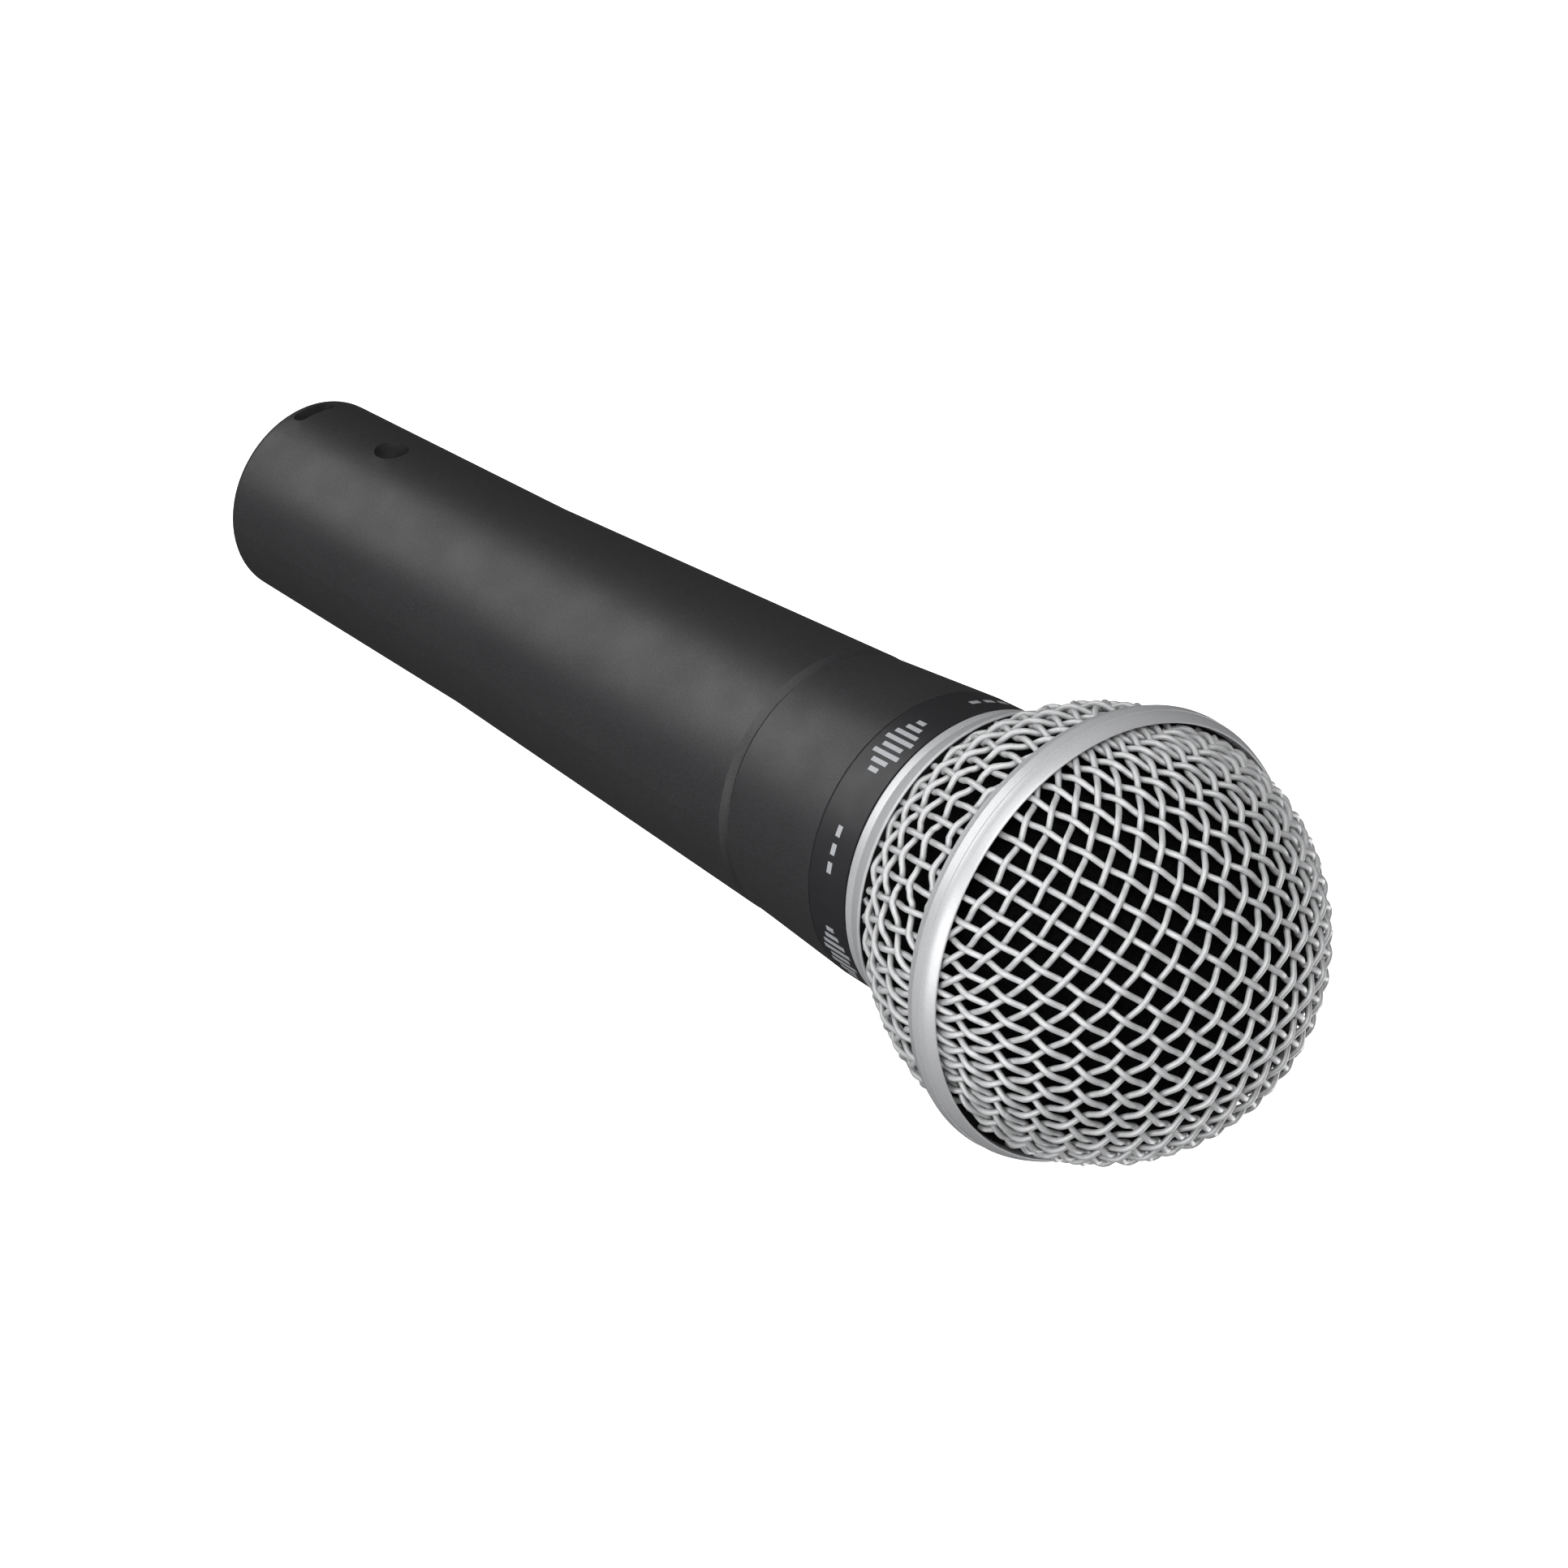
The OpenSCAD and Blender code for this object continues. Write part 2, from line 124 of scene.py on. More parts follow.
def tubes(name, paths, radius, material, sides=8):
    """Round bars with closed ends along paths, each a pair of centre points and normals."""
    vertices, faces, base = [], [], 0
    around = np.arange(sides) * 2 * math.pi / sides
    ring = np.stack([np.cos(around), np.sin(around)], 1) * radius
    for centres, normals in paths:
        along = np.gradient(centres, axis=0)
        along /= np.linalg.norm(along, axis=1)[:, None]
        across = np.cross(along, normals)
        across /= np.linalg.norm(across, axis=1)[:, None]
        out = np.cross(across, along)
        lifted = ring[None, :, :1] * out[:, None]
        sideways = ring[None, :, 1:] * across[:, None]
        points = centres[:, None] + lifted + sideways
        vertices.append(points.reshape(-1, 3))
        count = len(centres)
        for i in range(count - 1):
            a = base + i * sides
            faces += [(a + k, a + (k + 1) % sides, a + sides + (k + 1) % sides, a + sides + k)
                      for k in range(sides)]
        faces.append(tuple(range(base + sides - 1, base - 1, -1)))
        faces.append(tuple(range(base + (count - 1) * sides, base + count * sides)))
        base += count * sides
    return mesh_object(name, np.concatenate(vertices), faces, material, math.radians(70))


# ---------------------------------------------------------------- materials

NOISE_LOW, NOISE_HIGH = 0.3, 0.7          # nearly all of a noise texture's values lie between
WAVE_LENGTH = 0.314                       # a wave texture of scale 1 repeats after this, in metres
BROAD_GRAIN = 40                          # patches of roughness are this much wider than the grain
PATCHINESS = 0.08                         # and differ by this share


def new_material(name):
    material = bpy.data.materials.new(name)
    material.use_nodes = True
    tree = material.node_tree
    return material, tree.nodes, tree.links, tree.nodes["Principled BSDF"]


def noise_node(nodes, links, scale, detail=3.0, stretch=None):
    place = nodes.new("ShaderNodeTexCoord")
    texture = nodes.new("ShaderNodeTexNoise")
    texture.inputs["Scale"].default_value = scale
    texture.inputs["Detail"].default_value = detail
    if stretch:
        mapping = nodes.new("ShaderNodeMapping")
        mapping.inputs["Scale"].default_value = stretch
        links.new(place.outputs["Object"], mapping.inputs["Vector"])
        links.new(mapping.outputs["Vector"], texture.inputs["Vector"])
    else:
        links.new(place.outputs["Object"], texture.inputs["Vector"])
    return texture.outputs["Fac"]


def ramp(nodes, links, source, stops):
    node = nodes.new("ShaderNodeValToRGB")
    while len(node.color_ramp.elements) < len(stops):
        node.color_ramp.elements.new(0.5)
    for element, (place, colour) in zip(node.color_ramp.elements, stops):
        element.position = place
        element.color = (*colour, 1)
    links.new(source, node.inputs["Fac"])
    return node.outputs["Color"]


def spread(nodes, links, source, lowest, highest):
    node = nodes.new("ShaderNodeMapRange")
    node.inputs["From Min"].default_value = NOISE_LOW
    node.inputs["From Max"].default_value = NOISE_HIGH
    node.inputs["To Min"].default_value = lowest
    node.inputs["To Max"].default_value = highest
    links.new(source, node.inputs["Value"])
    return node.outputs["Result"]


def bump(nodes, links, shader, source, strength, distance):
    node = nodes.new("ShaderNodeBump")
    node.inputs["Strength"].default_value = strength
    node.inputs["Distance"].default_value = distance
    links.new(source, node.inputs["Height"])
    links.new(node.outputs["Normal"], shader.inputs["Normal"])


def shade(colour, factor):
    return tuple(min(1.0, c * factor) for c in colour)


def grained(name, colour, rough, metal=0.0, grain=4000, depth=0.01 * MM, strength=0.3,
            contrast=0.15, specular=0.5, stretch=None):
    """A surface with fine grain in its colour and relief, and broad patches in its roughness."""
    material, nodes, links, shader = new_material(name)
    fine = noise_node(nodes, links, grain, stretch=stretch)
    broad = noise_node(nodes, links, grain / BROAD_GRAIN, 4.0)
    stops = [(NOISE_LOW, shade(colour, 1 - contrast)), (NOISE_HIGH, shade(colour, 1 + contrast))]
    links.new(ramp(nodes, links, fine, stops), shader.inputs["Base Color"])
    patches = spread(nodes, links, broad, rough * (1 - PATCHINESS), rough * (1 + PATCHINESS))
    links.new(patches, shader.inputs["Roughness"])
    shader.inputs["Metallic"].default_value = metal
    shader.inputs["Specular IOR Level"].default_value = specular
    bump(nodes, links, shader, fine, strength, depth)
    return material


def wave_node(nodes, links, width, direction, distortion=0.0):
    """Stripes of one width that follow each other along one axis."""
    place = nodes.new("ShaderNodeTexCoord")
    wave = nodes.new("ShaderNodeTexWave")
    wave.bands_direction = direction
    wave.inputs["Scale"].default_value = WAVE_LENGTH / width
    wave.inputs["Distortion"].default_value = distortion
    links.new(place.outputs["Object"], wave.inputs["Vector"])
    return wave.outputs["Fac"]


def striped(name, colour, dark, rough, stripe, direction, metal=0.0):
    """Nearly even stripes along one axis, such as laminations or wound tape."""
    unevenness = 0.15
    material, nodes, links, shader = new_material(name)
    wave = wave_node(nodes, links, stripe, direction, 0.4)
    links.new(ramp(nodes, links, wave, [(0.1, dark), (0.5, colour)]), shader.inputs["Base Color"])
    fine = noise_node(nodes, links, 3000)
    patches = spread(nodes, links, fine, rough * (1 - unevenness), rough * (1 + unevenness))
    links.new(patches, shader.inputs["Roughness"])
    shader.inputs["Metallic"].default_value = metal
    bump(nodes, links, shader, wave, 0.4, 0.05 * MM)
    return material


def pored(name, colour, pore):
    """Open foam: each cell darkened towards its middle with painted shade, as a pore's hollow lies in
    shade, between soft walls.
    """
    material, nodes, links, shader = new_material(name)
    place = nodes.new("ShaderNodeTexCoord")
    cells = nodes.new("ShaderNodeTexVoronoi")
    cells.inputs["Scale"].default_value = 1 / pore
    links.new(place.outputs["Object"], cells.inputs["Vector"])
    # painted shade: each cell's middle is darker, where a pore's hollow would lie in shade
    tone = ramp(nodes, links, cells.outputs["Distance"], [(0.1, shade(colour, 0.2)), (0.6, colour)])
    links.new(tone, shader.inputs["Base Color"])
    shader.inputs["Roughness"].default_value = 1.0
    shader.inputs["Specular IOR Level"].default_value = 0.05
    bump(nodes, links, shader, cells.outputs["Distance"], 0.8, 0.2 * MM)
    return material


def woven_cloth(name, colour, thread):
    """Fine cloth: two crossed sets of threads."""
    material, nodes, links, shader = new_material(name)
    both = nodes.new("ShaderNodeMath")
    both.operation = "MULTIPLY"
    for socket, direction in zip(both.inputs, "XY"):
        links.new(wave_node(nodes, links, thread, direction), socket)
    tone = ramp(nodes, links, both.outputs["Value"], [(0.0, shade(colour, 0.3)), (0.7, colour)])
    links.new(tone, shader.inputs["Base Color"])
    shader.inputs["Roughness"].default_value = 0.9
    bump(nodes, links, shader, both.outputs["Value"], 0.6, 0.05 * MM)
    return material


MATERIALS = {
    "handle_enamel": grained("handle_enamel", (0.030, 0.030, 0.032), 0.50, grain=6000,
                             depth=0.012 * MM, strength=0.35, contrast=0.35, specular=0.5),
    "label_enamel": grained("label_enamel", (0.018, 0.018, 0.020), 0.50, grain=9000,
                            depth=0.004 * MM, strength=0.2, contrast=0.12),
    "label_print": grained("label_print", (0.42, 0.43, 0.45), 0.45, grain=6000, contrast=0.08),
    "mesh_silver": grained("mesh_silver", (0.60, 0.605, 0.61), 0.48, metal=0.22, grain=2600,
                           depth=0.02 * MM, strength=0.25, contrast=0.07),
    "ring_silver": grained("ring_silver", (0.60, 0.605, 0.615), 0.42, metal=0.3, grain=5000,
                           depth=0.01 * MM, strength=0.2, contrast=0.05),
    # near-black foam: its own black, darkened further with painted shade, as it lies in shade behind the
    # wires
    "foam": pored("foam", (0.0025, 0.0025, 0.0025), 0.5 * MM),
    "black_plastic": grained("black_plastic", (0.02, 0.02, 0.021), 0.5, grain=3000),
    "contact_gold": grained("contact_gold", (0.85, 0.62, 0.26), 0.25, metal=1.0, grain=2500, contrast=0.06),
    "steel": grained("steel", (0.55, 0.55, 0.56), 0.33, metal=1.0, grain=1500, stretch=(1, 6, 1)),
    "core_steel": striped("core_steel", (0.22, 0.22, 0.24), (0.05, 0.05, 0.06), 0.45, 0.5 * MM, "Y", 0.8),
    "lead_sleeve": grained("lead_sleeve", (0.45, 0.05, 0.04), 0.45, grain=2500),
    "winding_tape": striped("winding_tape", (0.62, 0.42, 0.08), (0.35, 0.22, 0.04), 0.35, 2.2 * MM, "Z"),
    "potting_resin": grained("potting_resin", (0.035, 0.028, 0.02), 0.25, grain=700, strength=0.5),
    "copper_wire": striped("copper_wire", (0.70, 0.28, 0.12), (0.25, 0.08, 0.03), 0.3, 0.12 * MM, "Z", 1.0),
    "ring_brass": grained("ring_brass", (0.75, 0.56, 0.26), 0.3, metal=1.0, grain=1500, stretch=(1, 1, 8)),
    "film": grained("film", (0.60, 0.55, 0.40), 0.2, grain=900, contrast=0.06),
    "magnet_grey": grained("magnet_grey", (0.16, 0.16, 0.175), 0.5, metal=0.7, grain=1800),
    "board_fibre": striped("board_fibre", (0.30, 0.17, 0.07), (0.20, 0.11, 0.05), 0.6, 0.3 * MM, "X"),
    # near-black, darker than rubber: painted shade that fills the seam's groove, and on the beads their
    # black together with painted shade at the meshes' edges
    "black_rubber": grained("black_rubber", (0.002, 0.002, 0.002), 0.95, grain=2500),
    "screen_cloth": woven_cloth("screen_cloth", (0.05, 0.05, 0.05), 0.25 * MM),
}


def dress_frame():
    """Every CAD node gets the material of its slot."""
    for entry in frame["record"]["subparts"]:
        mesh = frame["nodes"][entry["node"]].data
        mesh.materials.clear()
        mesh.materials.append(MATERIALS[entry["material_slot"]])


dress_frame()


# ---------------------------------------------------------------- woven grille

NET_CELL = 0.64 * MM
WEAVE_TURN = math.radians(-45)            # the wires' direction round the axis
SAMPLES_PER_PITCH = 8
# A pitch is a pair: the spacing at the middle of the cloth, and about how much wider it is from
# wire WIDER_FROM outwards. The rear's growth is a choice that puts its visible rows in place, and
# not a measured property of the cloth. A phase places the wires next to the axis.
DOME_PITCH = (2.55 * MM, 0.0)
REAR_PITCH = (2.46 * MM, 0.60 * MM)
DOME_PHASE = (-0.23 * MM, -0.48 * MM)
REAR_PHASE = (1.35 * MM, 1.23 * MM)
WIDER_FROM = 8                            # counted from the middle of the cloth
WIRE_STOP = 0.1 * MM                      # how far the wires end short of their mesh's edge
SHORTEST_RUN = 3                          # in samples; shorter ends of wire are left out


def mesh_r(z):
    """Outer radius of the rear mesh, a cone that bulges and ends inside the band."""
    band_play = 0.15 * MM
    t = max(0.0, (z - RING_TOP) / (BAND_LOW - RING_TOP))
    r = MESH_REAR_R + (MESH_FRONT_R - MESH_REAR_R) * t + MESH_BULGE * 4 * t * (1 - t)
    return min(r, MESH_FRONT_R - band_play)


def onto_dome(points):
    """The nearest points of the dome's middle surface, and its outward normals."""
    centre = np.array(DOME_CENTRE)
    normals = points - centre
    normals = normals / np.linalg.norm(normals, axis=-1, keepdims=True)
    return centre + normals * DOME_MID_R, normals


def rear_outline():
    """The rear mesh's middle surface as a fine outline: a flat middle, then a cone that bulges."""
    corner = MESH_REAR_R - WIRE_D
    height = MESH_LOW - 0.2 * MM
    top = BAND_LOW + 3 * MM
    flat = [(corner * t, height) for t in np.linspace(0, 1, 60, endpoint=False)]
    cone = [(mesh_r(z) - WIRE_D, z) for z in np.linspace(height, top, 160)]
    return np.array(flat + cone)


REAR = rear_outline()
REAR_STEPS = np.diff(REAR, axis=0)
REAR_LENGTHS = np.linalg.norm(REAR_STEPS, axis=1)
REAR_ALONG = np.gradient(REAR, axis=0)
REAR_ALONG /= np.linalg.norm(REAR_ALONG, axis=1)[:, None]


def onto_rear(points):
    """The nearest points of the rear mesh's middle surface, and its outward normals."""
    rho = np.hypot(points[:, 0], points[:, 1])
    flat = np.stack([rho, points[:, 2]], 1)
    ahead = ((flat[:, None] - REAR[None, :-1]) * REAR_STEPS).sum(-1) / REAR_LENGTHS ** 2
    ahead = np.clip(ahead, 0, 1)
    feet = REAR[None, :-1] + ahead[..., None] * REAR_STEPS
    best = ((flat[:, None] - feet) ** 2).sum(-1).argmin(1)
    foot = feet[np.arange(len(best)), best]
    share = ahead[np.arange(len(best)), best][:, None]
    along = REAR_ALONG[best] * (1 - share) + REAR_ALONG[best + 1] * share
    around = np.stack([points[:, 0], points[:, 1]], 1) / np.maximum(rho, 1e-9)[:, None]
    placed = np.concatenate([around * foot[:, :1], foot[:, 1:]], 1)
    normals = np.concatenate([around * along[:, 1:], -along[:, :1]], 1)
    return placed, normals / np.linalg.norm(normals, axis=1)[:, None]


def fishnet(project, row, count):
    """The corners of a net with cells of equal sides that is draped over a surface.

    Its row and column zero run straight out from the middle.
    """
    net = np.zeros((count, count, 3))
    net[:, 0] = row
    net[0, :] = row[:, [1, 0, 2]]
    for total in range(2, 2 * count - 1):
        i = np.arange(max(1, total - count + 1), min(count, total))
        j = total - i
        a, b, c = net[i - 1, j], net[i, j - 1], net[i - 1, j - 1]
        middle = (a + b) / 2
        normal = project(middle)[1]
        lean = ((c - middle) * normal).sum(-1, keepdims=True)
        corner = middle + 2 * lean * normal - (c - middle)
        for _ in range(8):
            for anchor in (a, b):
                gap = corner - anchor
                corner = anchor + gap * NET_CELL / np.linalg.norm(gap, axis=-1, keepdims=True)
            corner = project(corner)[0]
        net[i, j] = corner
    return net


def on_net(net, u, v):
    """Points of the draped net at distances u and v along its two sets of wires."""
    last = len(net) - 2
    x, y = np.abs(u) / NET_CELL, np.abs(v) / NET_CELL
    i = np.clip(x.astype(int), 0, last)
    j = np.clip(y.astype(int), 0, last)
    fx, fy = (x - i)[:, None], (y - j)[:, None]
    points = ((net[i, j] * (1 - fx) + net[i + 1, j] * fx) * (1 - fy)
              + (net[i, j + 1] * (1 - fx) + net[i + 1, j + 1] * fx) * fy)
    points[:, 0] *= np.where(u < 0, -1, 1)
    points[:, 1] *= np.where(v < 0, -1, 1)
    return points


def runs_near_middle(inside, middle):
    """The first unbroken stretch of kept samples on each side of the middle sample."""
    edges = np.flatnonzero(np.diff(np.concatenate([[0], inside.astype(int), [0]])))
    stretches = list(zip(edges[::2], edges[1::2]))
    before = [s for s in stretches if s[0] <= middle]
    after = [s for s in stretches if s[1] > middle]
    chosen = set(before[-1:] + after[:1])
    return sorted(chosen)


def weave(net, project, keep, pitch, phase, parity):
    """Centre lines and normals of a plain weave of wires, over and under in turn."""
    step, growth = pitch
    reach = (len(net) - 2) * NET_CELL
    count = int(reach / step)
    samples = count * SAMPLES_PER_PITCH
    number = np.arange(-samples, samples + 1) / SAMPLES_PER_PITCH
    turn = np.array(Matrix.Rotation(WEAVE_TURN, 3, "Z"))

    def place(wire):
        return wire * step + growth * wire ** 3 / (wire ** 2 + WIDER_FROM ** 2)

    number = number[np.abs(place(number)) < reach]
    middle = len(number) // 2
    first_u, first_v = phase[0] / step, phase[1] / step
    paths = []
    for family, (own, other, sign) in enumerate(((first_v, first_u, 1), (first_u, first_v, -1))):
        for k in range(-count, count):
            offset = place(own + k)
            if abs(offset) > reach:
                continue
            along, across = place(number), np.full_like(number, offset)
            u, v = (along, across) if family == 0 else (across, along)
            feet, normals = project(on_net(net, u, v))
            swing = np.cos(math.pi * (number - other)) * (-1) ** k * sign * parity
            centres = feet + normals * (swing * WIRE_D / 2)[:, None]
            for start, stop in runs_near_middle(keep(feet), middle):
                if stop - start >= SHORTEST_RUN:
                    paths.append((centres[start:stop] @ turn.T, normals[start:stop] @ turn.T))
    return paths


def dome_paths():
    quarter_turn = DOME_MID_R * math.pi / 2
    count = int(quarter_turn / NET_CELL) + 3
    angle = np.arange(count) * NET_CELL / DOME_MID_R
    row = np.stack([np.sin(angle) * DOME_MID_R, 0 * angle,
                    DOME_CENTRE.z + np.cos(angle) * DOME_MID_R], 1)
    edge = DOME_CENTRE.z + WIRE_STOP
    return weave(fishnet(onto_dome, row, count), onto_dome, lambda feet: feet[:, 2] > edge,
                 DOME_PITCH, DOME_PHASE, 1)


def rear_paths():
    travelled = np.concatenate([[0], np.cumsum(REAR_LENGTHS)])
    count = int(travelled[-1] / NET_CELL)
    along = np.arange(count) * NET_CELL
    row = np.stack([np.interp(along, travelled, REAR[:, 0]), 0 * along,
                    np.interp(along, travelled, REAR[:, 1])], 1)
    bottom, top = MESH_LOW + WIRE_STOP, MESH_TOP - WIRE_STOP
    return weave(fishnet(onto_rear, row, count), onto_rear,
                 lambda feet: (feet[:, 2] > bottom) & (feet[:, 2] < top),
                 REAR_PITCH, REAR_PHASE, -1)


dome_mesh = tubes("dome_wires", dome_paths(), WIRE_D / 2, MATERIALS["mesh_silver"])
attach(dome_mesh, "grille")
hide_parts("grille_dome")

rear_mesh = tubes("rear_wires", rear_paths(), WIRE_D / 2, MATERIALS["mesh_silver"])
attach(rear_mesh, "grille")
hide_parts("grille_rear_mesh")


# ---------------------------------------------------------------- band and collar of the grille

def steps_from(radius, height, steps):
    """Points that lie steps of (outwards, upwards), in millimetres, from one corner."""
    return [(radius + out * MM, height + up * MM) for out, up in steps]


def band_outline():
    """A narrow rear bevel, a fine groove, the main face with a low step, a rounded front lip."""
    seat = MESH_FRONT_R + 0.2 * MM
    inner = DOME_OUTER_R + 0.1 * MM
    rear_edge = steps_from(seat, BAND_LOW, [(0, 0.1), (0.1, 0)])
    bevel = steps_from(BAND_R, BAND_LOW, [(-0.42, 0), (-0.32, 0.06), (-0.06, 0.72), (-0.03, 0.79)])
    groove = steps_from(BAND_R, BAND_LOW, [(-0.24, 0.82), (-0.24, 0.98), (-0.01, 1.01)])
    face = steps_from(BAND_R, BAND_LOW, [(0, 1.10), (-0.05, 2.10), (-0.14, 2.12), (-0.14, 2.22)])
    front = [(BAND_R - 0.14 * MM, BAND_LOW + 2.5 * MM)]
    front += steps_from(BAND_R, BAND_TOP, [(-0.34, -0.75), (-0.62, -0.25), (-0.72, -0.06)])
    lip = steps_from(BAND_R, BAND_TOP, [(-0.80, 0), (-0.90, 0), (-0.97, -0.08)])
    bore = [(inner, BAND_TOP - 0.9 * MM), (inner, BAND_LOW + 1.5 * MM), (seat, BAND_LOW + 1.4 * MM)]
    return rear_edge + bevel + groove + face + front + lip + bore


def collar_outline():
    """Two faces with a fine groove between them, and a lip round the mesh's edge."""
    bore = 15.75 * MM
    ledge = MESH_LOW - 0.02 * MM
    rear_edge = steps_from(bore, RING_LOW, [(0, 0.1), (0.1, 0)])
    rear_bevel = steps_from(LABEL_TOP_R, RING_LOW, [(-0.05, 0), (0.12, 0.05), (0.32, 0.3)])
    rear_face = steps_from(LABEL_TOP_R, RING_LOW, [(0.5, 1.35), (0.50, 1.46)])
    groove = steps_from(LABEL_TOP_R, RING_LOW, [(0.34, 1.50), (0.36, 1.64), (0.60, 1.68)])
    front_face = [(LABEL_TOP_R + 0.78 * MM, RING_LOW + 1.95 * MM)]
    front_face += steps_from(RING_LIP_R, RING_TOP, [(-0.12, -0.5)])
    lip = steps_from(RING_LIP_R, RING_TOP, [(0, -0.2), (-0.02, -0.08), (-0.12, 0), (-0.24, 0)])
    recess = steps_from(RING_LIP_R, RING_TOP, [(-0.32, -0.08)])
    recess += [(MESH_REAR_R + 0.1 * MM, ledge), (bore, ledge)]
    return rear_edge + rear_bevel + rear_face + groove + front_face + lip + recess


RING_SEGMENTS = 240
RING_SHARP_ANGLE = math.radians(28)

band = lathe("grille_band_ring", band_outline(), MATERIALS["ring_silver"], RING_SEGMENTS,
             RING_SHARP_ANGLE)
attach(band, "grille")
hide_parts("grille_band")

collar = lathe("grille_collar_ring", collar_outline(), MATERIALS["ring_silver"], RING_SEGMENTS,
               RING_SHARP_ANGLE)
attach(collar, "grille")
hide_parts("grille_collar")


def bead(name, inner, outer, bottom, top):
    """A black bead of adhesive that holds the edge of a mesh; its near-black colour is also painted shade
    where the mesh meets its ring.
    """
    piece = lathe(name, [(inner, bottom), (outer, bottom), (outer, top), (inner, top)],
                  MATERIALS["black_rubber"])
    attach(piece, "grille")


DOME_BEAD_BORE_R = 22.75 * MM
REAR_BEAD_BORE_R = 16.4 * MM
BEAD_REACH = 0.12 * MM                    # how far a bead reaches past the mesh that it holds

bead("dome_edge_bead", DOME_BEAD_BORE_R, DOME_OUTER_R + BEAD_REACH,
     BAND_LOW + 1.45 * MM, BAND_LOW + 2.0 * MM)
bead("rear_edge_bead", REAR_BEAD_BORE_R, MESH_REAR_R + BEAD_REACH,
     MESH_LOW - 0.01 * MM, RING_TOP - 0.45 * MM)


# ---------------------------------------------------------------- foam

FOAM_ROUGH = 0.10 * MM
FOAM_LUMPS = 900                          # per metre
FOAM_HOLLOW_R = high("resonator_cap").x + 2 * MM
FOAM_CEILING = high("resonator_cap").z + 2.3 * MM


def foam_outline():
    """A skirt inside the collar, a wall behind the wires, a round top, and a hollow below it."""
    box_low, box_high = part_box("foam_windscreen")
    outer_r = box_high.x - FOAM_ROUGH
    lining = 2 * WIRE_D + 0.6 * MM
    skirt_r = 15.95 * MM
    skirt_top = RING_TOP - 0.2 * MM
    wall_r = skirt_r + 0.25 * MM
    outline = [(FOAM_HOLLOW_R, box_low.z), (skirt_r, box_low.z - 0.3 * MM), (skirt_r, skirt_top)]
    for z in np.linspace(skirt_top, DOME_CENTRE.z, 30, endpoint=False):
        outline.append((min(max(mesh_r(z) - lining, wall_r), outer_r), z))
    for a in np.linspace(0, math.radians(89), 40):
        outline.append((outer_r * math.cos(a), DOME_CENTRE.z + outer_r * math.sin(a)))
    outline += [(0.2 * MM, FOAM_CEILING), (FOAM_HOLLOW_R - 4 * MM, FOAM_CEILING),
                (FOAM_HOLLOW_R, FOAM_CEILING - 2 * MM)]
    return outline


def foam_piece():
    """A foam liner just inside the wires, slightly uneven outside, hollow for the capsule."""
    piece = lathe("foam_liner", foam_outline(), MATERIALS["foam"], 128)
    for vertex in piece.data.vertices:
        from_axis = Vector((vertex.co.x, vertex.co.y, 0)).length
        if from_axis > FOAM_HOLLOW_R + 0.5 * MM or vertex.co.z > FOAM_CEILING + MM:
            rough = noise.noise(vertex.co * FOAM_LUMPS) * FOAM_ROUGH
            vertex.co += (vertex.co - DOME_CENTRE).normalized() * rough
    return piece


foam = foam_piece()
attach(foam, "grille_lift")
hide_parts("foam_windscreen")


# ---------------------------------------------------------------- printed marks on the label band

INK = 0.03 * MM
INK_SUNK = 0.005 * MM
GROUPS = 4
FIRST_GROUP = math.radians(-67)
BAR_HEIGHTS = [1.2 * MM, 2.2 * MM, 3.4 * MM, 4.2 * MM, 3.0 * MM, 4.0 * MM, 2.4 * MM, 1.4 * MM]
BAR_WIDTH = math.radians(1.9)
BAR_SPACING = math.radians(3.6)
DASH_HEIGHT = 0.7 * MM
DASH_WIDTH = math.radians(4.2)
DASH_SPACING = math.radians(7)


def label_r(z):
    share = (z - LABEL_LOW) / (LABEL_TOP - LABEL_LOW)
    return LABEL_LOW_R + (LABEL_TOP_R - LABEL_LOW_R) * share


def printed_bar(centre, width, bottom, top, vertices, faces):
    """A thin curved plate on the label band; centre and width are angles."""
    steps = 4
    base = len(vertices)
    for lift in (0.0, INK):
        for i in range(steps + 1):
            a = centre + width * (i / steps - 0.5)
            for z in (bottom, top):
                r = label_r(z) + lift - INK_SUNK
                vertices.append((r * math.cos(a), r * math.sin(a), z))
    layer = 2 * (steps + 1)
    for i in range(steps):
        a = base + 2 * i
        faces.append((a, a + 1, a + 3, a + 2))
        faces.append((a + layer, a + layer + 2, a + layer + 3, a + layer + 1))
        faces.append((a, a + 2, a + layer + 2, a + layer))
        faces.append((a + 1, a + layer + 1, a + layer + 3, a + 3))
    for i, flip in ((0, False), (steps, True)):
        a = base + 2 * i
        side = (a, a + layer, a + layer + 1, a + 1)
        faces.append(side[::-1] if flip else side)


def label_marks():
    """Plain bars of different heights in groups, like a level meter, between short dashes."""
    vertices, faces = [], []
    middle = (LABEL_LOW + LABEL_TOP) / 2
    for group in range(GROUPS):
        start = FIRST_GROUP + group * 2 * math.pi / GROUPS
        for i, height in enumerate(BAR_HEIGHTS):
            a = start + BAR_SPACING * (i - (len(BAR_HEIGHTS) - 1) / 2)
            printed_bar(a, BAR_WIDTH, middle - height / 2, middle + height / 2, vertices, faces)
        for i in (-1, 0, 1):
            a = start + math.pi / GROUPS + DASH_SPACING * i
            printed_bar(a, DASH_WIDTH, middle - DASH_HEIGHT / 2, middle + DASH_HEIGHT / 2, vertices, faces)
    return mesh_object("label_marks", vertices, faces, MATERIALS["label_print"])


marks = label_marks()
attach(marks, "head")


# ---------------------------------------------------------------- threads and leads

THREAD_PITCH = 1.0 * MM
GRILLE_THREAD_R = 15.52 * MM
HEAD_THREAD_R = 12.43 * MM


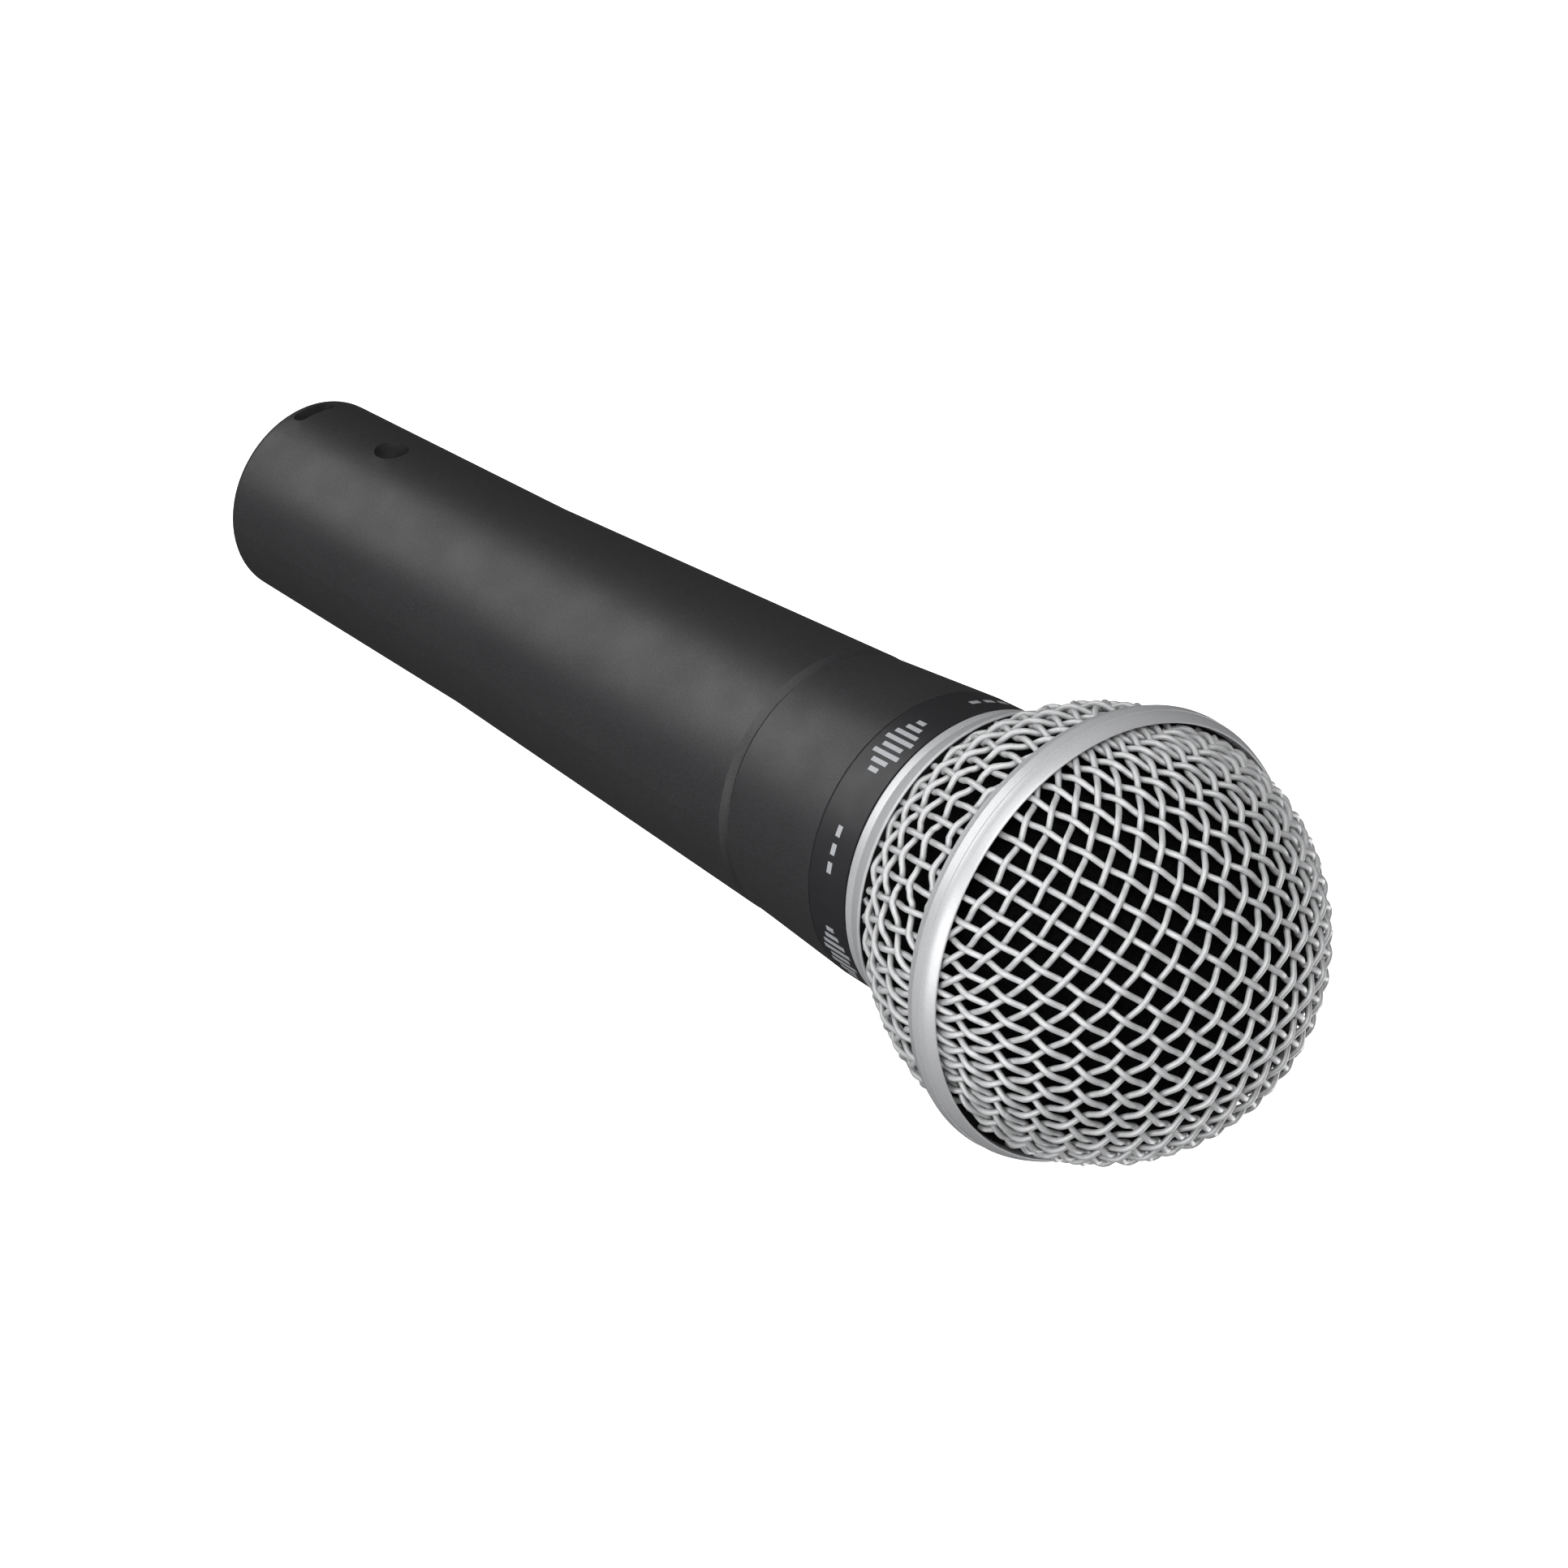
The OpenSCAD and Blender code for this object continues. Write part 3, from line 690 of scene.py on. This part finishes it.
def helix(name, radius, bottom, top, ridge):
    """A screw thread's ridge as a thin bar wound round the axis."""
    samples_per_turn = 72
    turns = (top - bottom) / THREAD_PITCH
    t = np.linspace(0, turns, int(turns * samples_per_turn))
    a = 2 * math.pi * t
    normals = np.stack([np.cos(a), np.sin(a), 0 * a], 1)
    centres = normals * radius + np.stack([0 * a, 0 * a, bottom + t * THREAD_PITCH], 1)
    return tubes(name, [(centres, normals)], ridge, MATERIALS["handle_enamel"], 6)


grille_thread = helix("grille_thread", GRILLE_THREAD_R, RING_LOW + 0.3 * MM,
                      high("head_collar").z - 0.5 * MM, 0.17 * MM)
head_thread = helix("head_thread", HEAD_THREAD_R, low("head_collar").z + 0.4 * MM,
                    low("seam_gasket").z - 0.4 * MM, 0.14 * MM)
for thread in (grille_thread, head_thread):
    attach(thread, "head")


def lead(points):
    """A tube's path from its centre points; any steady normal does for a round lead."""
    centres = np.array(points)
    normals = np.tile([1.0, 0.0, 0.0], (len(centres), 1))
    return centres, normals


def twisted_pair():
    """The capsule's two leads, which twist round each other between transformer and lugs."""
    twists = 2
    flatness = 0.6
    box_low, box_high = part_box("capsule_leads")
    radius = (box_high.y - box_low.y) / 2
    together = radius * 1.1
    apart = box_high.x - radius
    y = (box_low.y + box_high.y) / 2
    paths = []
    for side in (1, -1):
        points = []
        for t in np.linspace(0, 1, 60):
            away = together + (apart - together) * abs(2 * t - 1) ** 2
            a = 2 * math.pi * twists * t
            z = box_low.z + (box_high.z - box_low.z) * t
            points.append((side * away * math.cos(a), y + side * away * math.sin(a) * flatness, z))
        paths.append(lead(points))
    return tubes("capsule_lead_pair", paths, radius, MATERIALS["lead_sleeve"])


pair = twisted_pair()
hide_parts("capsule_leads")
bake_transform(pair)


def tail_wires():
    """Three leads that bow a little between the contacts and the transformer."""
    radius = 0.45 * MM
    most_bow = 0.14
    box_low, box_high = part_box("tail_leads")
    paths = []
    for pin in ("xlr_pin_1", "xlr_pin_2", "xlr_pin_3"):
        pin_low, pin_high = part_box(pin)
        x, y = (pin_low.x + pin_high.x) / 2, (pin_low.y + pin_high.y) / 2
        points = []
        for t in np.linspace(0, 1, 24):
            bow = 1 + most_bow * math.sin(math.pi * t)
            points.append((x * bow, y * bow, box_low.z + (box_high.z - box_low.z) * t))
        paths.append(lead(points))
    return tubes("tail_lead_wires", paths, radius, MATERIALS["lead_sleeve"])


wires = tail_wires()
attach(wires, "handle")
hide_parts("tail_leads")


# ---------------------------------------------------------------- floor, lights and camera

CAMERA_BACK = Vector((0.53935, -0.49422, 0.68182))
CAMERA_UP = Vector((-0.34293, -0.86842, -0.35818))
CAMERA_PLACE = Vector((0.54023, -0.49169, 0.76835))
CAMERA_LENS = 211.47
LIT_POINT = Vector((0, 0, 0.09))
FLOOR_DROP = 0.30
FLOOR_HALF = 20
FLOOR_GLOW = 1.08
SEEN_WHITE = (0.96, 0.96, 0.96, 1)
FELT_GREY = (0.07, 0.07, 0.071, 1)
# Each softbox: name, direction from the object, distance, width of its square and power in watts.
SOFTBOXES = [
    ("side", (0.384, -0.625, -0.681), 0.65, 0.55, 3.2),
    ("left", (0.953, -0.094, 0.292), 0.65, 0.5, 2.9),
    ("front", (0.305, -0.760, 0.573), 0.70, 0.5, 3.4),
    ("back", (-0.70, 0.64, 0.20), 0.90, 0.8, 7),
]


def add_camera():
    data = bpy.data.cameras.new("camera")
    data.lens = CAMERA_LENS
    data.sensor_width = 36
    data.clip_start = 0.01
    data.clip_end = 100
    camera = bpy.data.objects.new("camera", data)
    back = CAMERA_BACK.normalized()
    right = CAMERA_UP.cross(back).normalized()
    up = back.cross(right)
    turn = Matrix((right, up, back)).transposed()
    camera.matrix_world = Matrix.Translation(CAMERA_PLACE) @ turn.to_4x4()
    scene.collection.objects.link(camera)
    scene.camera = camera


def add_softbox(name, direction, distance, width, power):
    """A soft area light that faces the middle of the object from one direction."""
    data = bpy.data.lights.new(name, "AREA")
    data.shape = "RECTANGLE"
    data.size = width
    data.size_y = width
    data.energy = power
    lamp = bpy.data.objects.new(name, data)
    away = Vector(direction).normalized()
    lamp.location = LIT_POINT + away * distance
    lamp.rotation_euler = away.to_track_quat("Z", "Y").to_euler()
    lamp.visible_camera = False
    scene.collection.objects.link(lamp)


def add_floor():
    """A pale glowing plane far below the object, which takes no part in its lighting."""
    material, nodes, links, shader = new_material("floor")
    stops = [(NOISE_LOW, (0.90, 0.90, 0.90)), (NOISE_HIGH, (0.92, 0.92, 0.92))]
    tone = ramp(nodes, links, noise_node(nodes, links, 2.0), stops)
    links.new(tone, shader.inputs["Base Color"])
    links.new(tone, shader.inputs["Emission Color"])
    shader.inputs["Emission Strength"].default_value = FLOOR_GLOW
    shader.inputs["Roughness"].default_value = 0.9
    shader.inputs["Specular IOR Level"].default_value = 0.1
    signs = ((-1, -1), (1, -1), (1, 1), (-1, 1))
    corners = [(x * FLOOR_HALF, y * FLOOR_HALF, -FLOOR_DROP) for x, y in signs]
    floor = mesh_object("floor", corners, [(0, 1, 2, 3)], material)
    floor.visible_diffuse = False
    floor.visible_glossy = False


def add_world():
    """White where the camera looks past the floor, and a dim grey for the object's surroundings."""
    world = bpy.data.worlds.new("studio")
    scene.world = world
    world.use_nodes = True
    nodes, links = world.node_tree.nodes, world.node_tree.links
    nodes.clear()
    path = nodes.new("ShaderNodeLightPath")
    seen, felt = nodes.new("ShaderNodeBackground"), nodes.new("ShaderNodeBackground")
    seen.inputs["Color"].default_value = SEEN_WHITE
    felt.inputs["Color"].default_value = FELT_GREY
    mix, out = nodes.new("ShaderNodeMixShader"), nodes.new("ShaderNodeOutputWorld")
    links.new(path.outputs["Is Camera Ray"], mix.inputs["Fac"])
    links.new(felt.outputs["Background"], mix.inputs[1])
    links.new(seen.outputs["Background"], mix.inputs[2])
    links.new(mix.outputs["Shader"], out.inputs["Surface"])


add_camera()
add_floor()
add_world()
for softbox in SOFTBOXES:
    add_softbox(*softbox)
scene.view_settings.view_transform = "Standard"
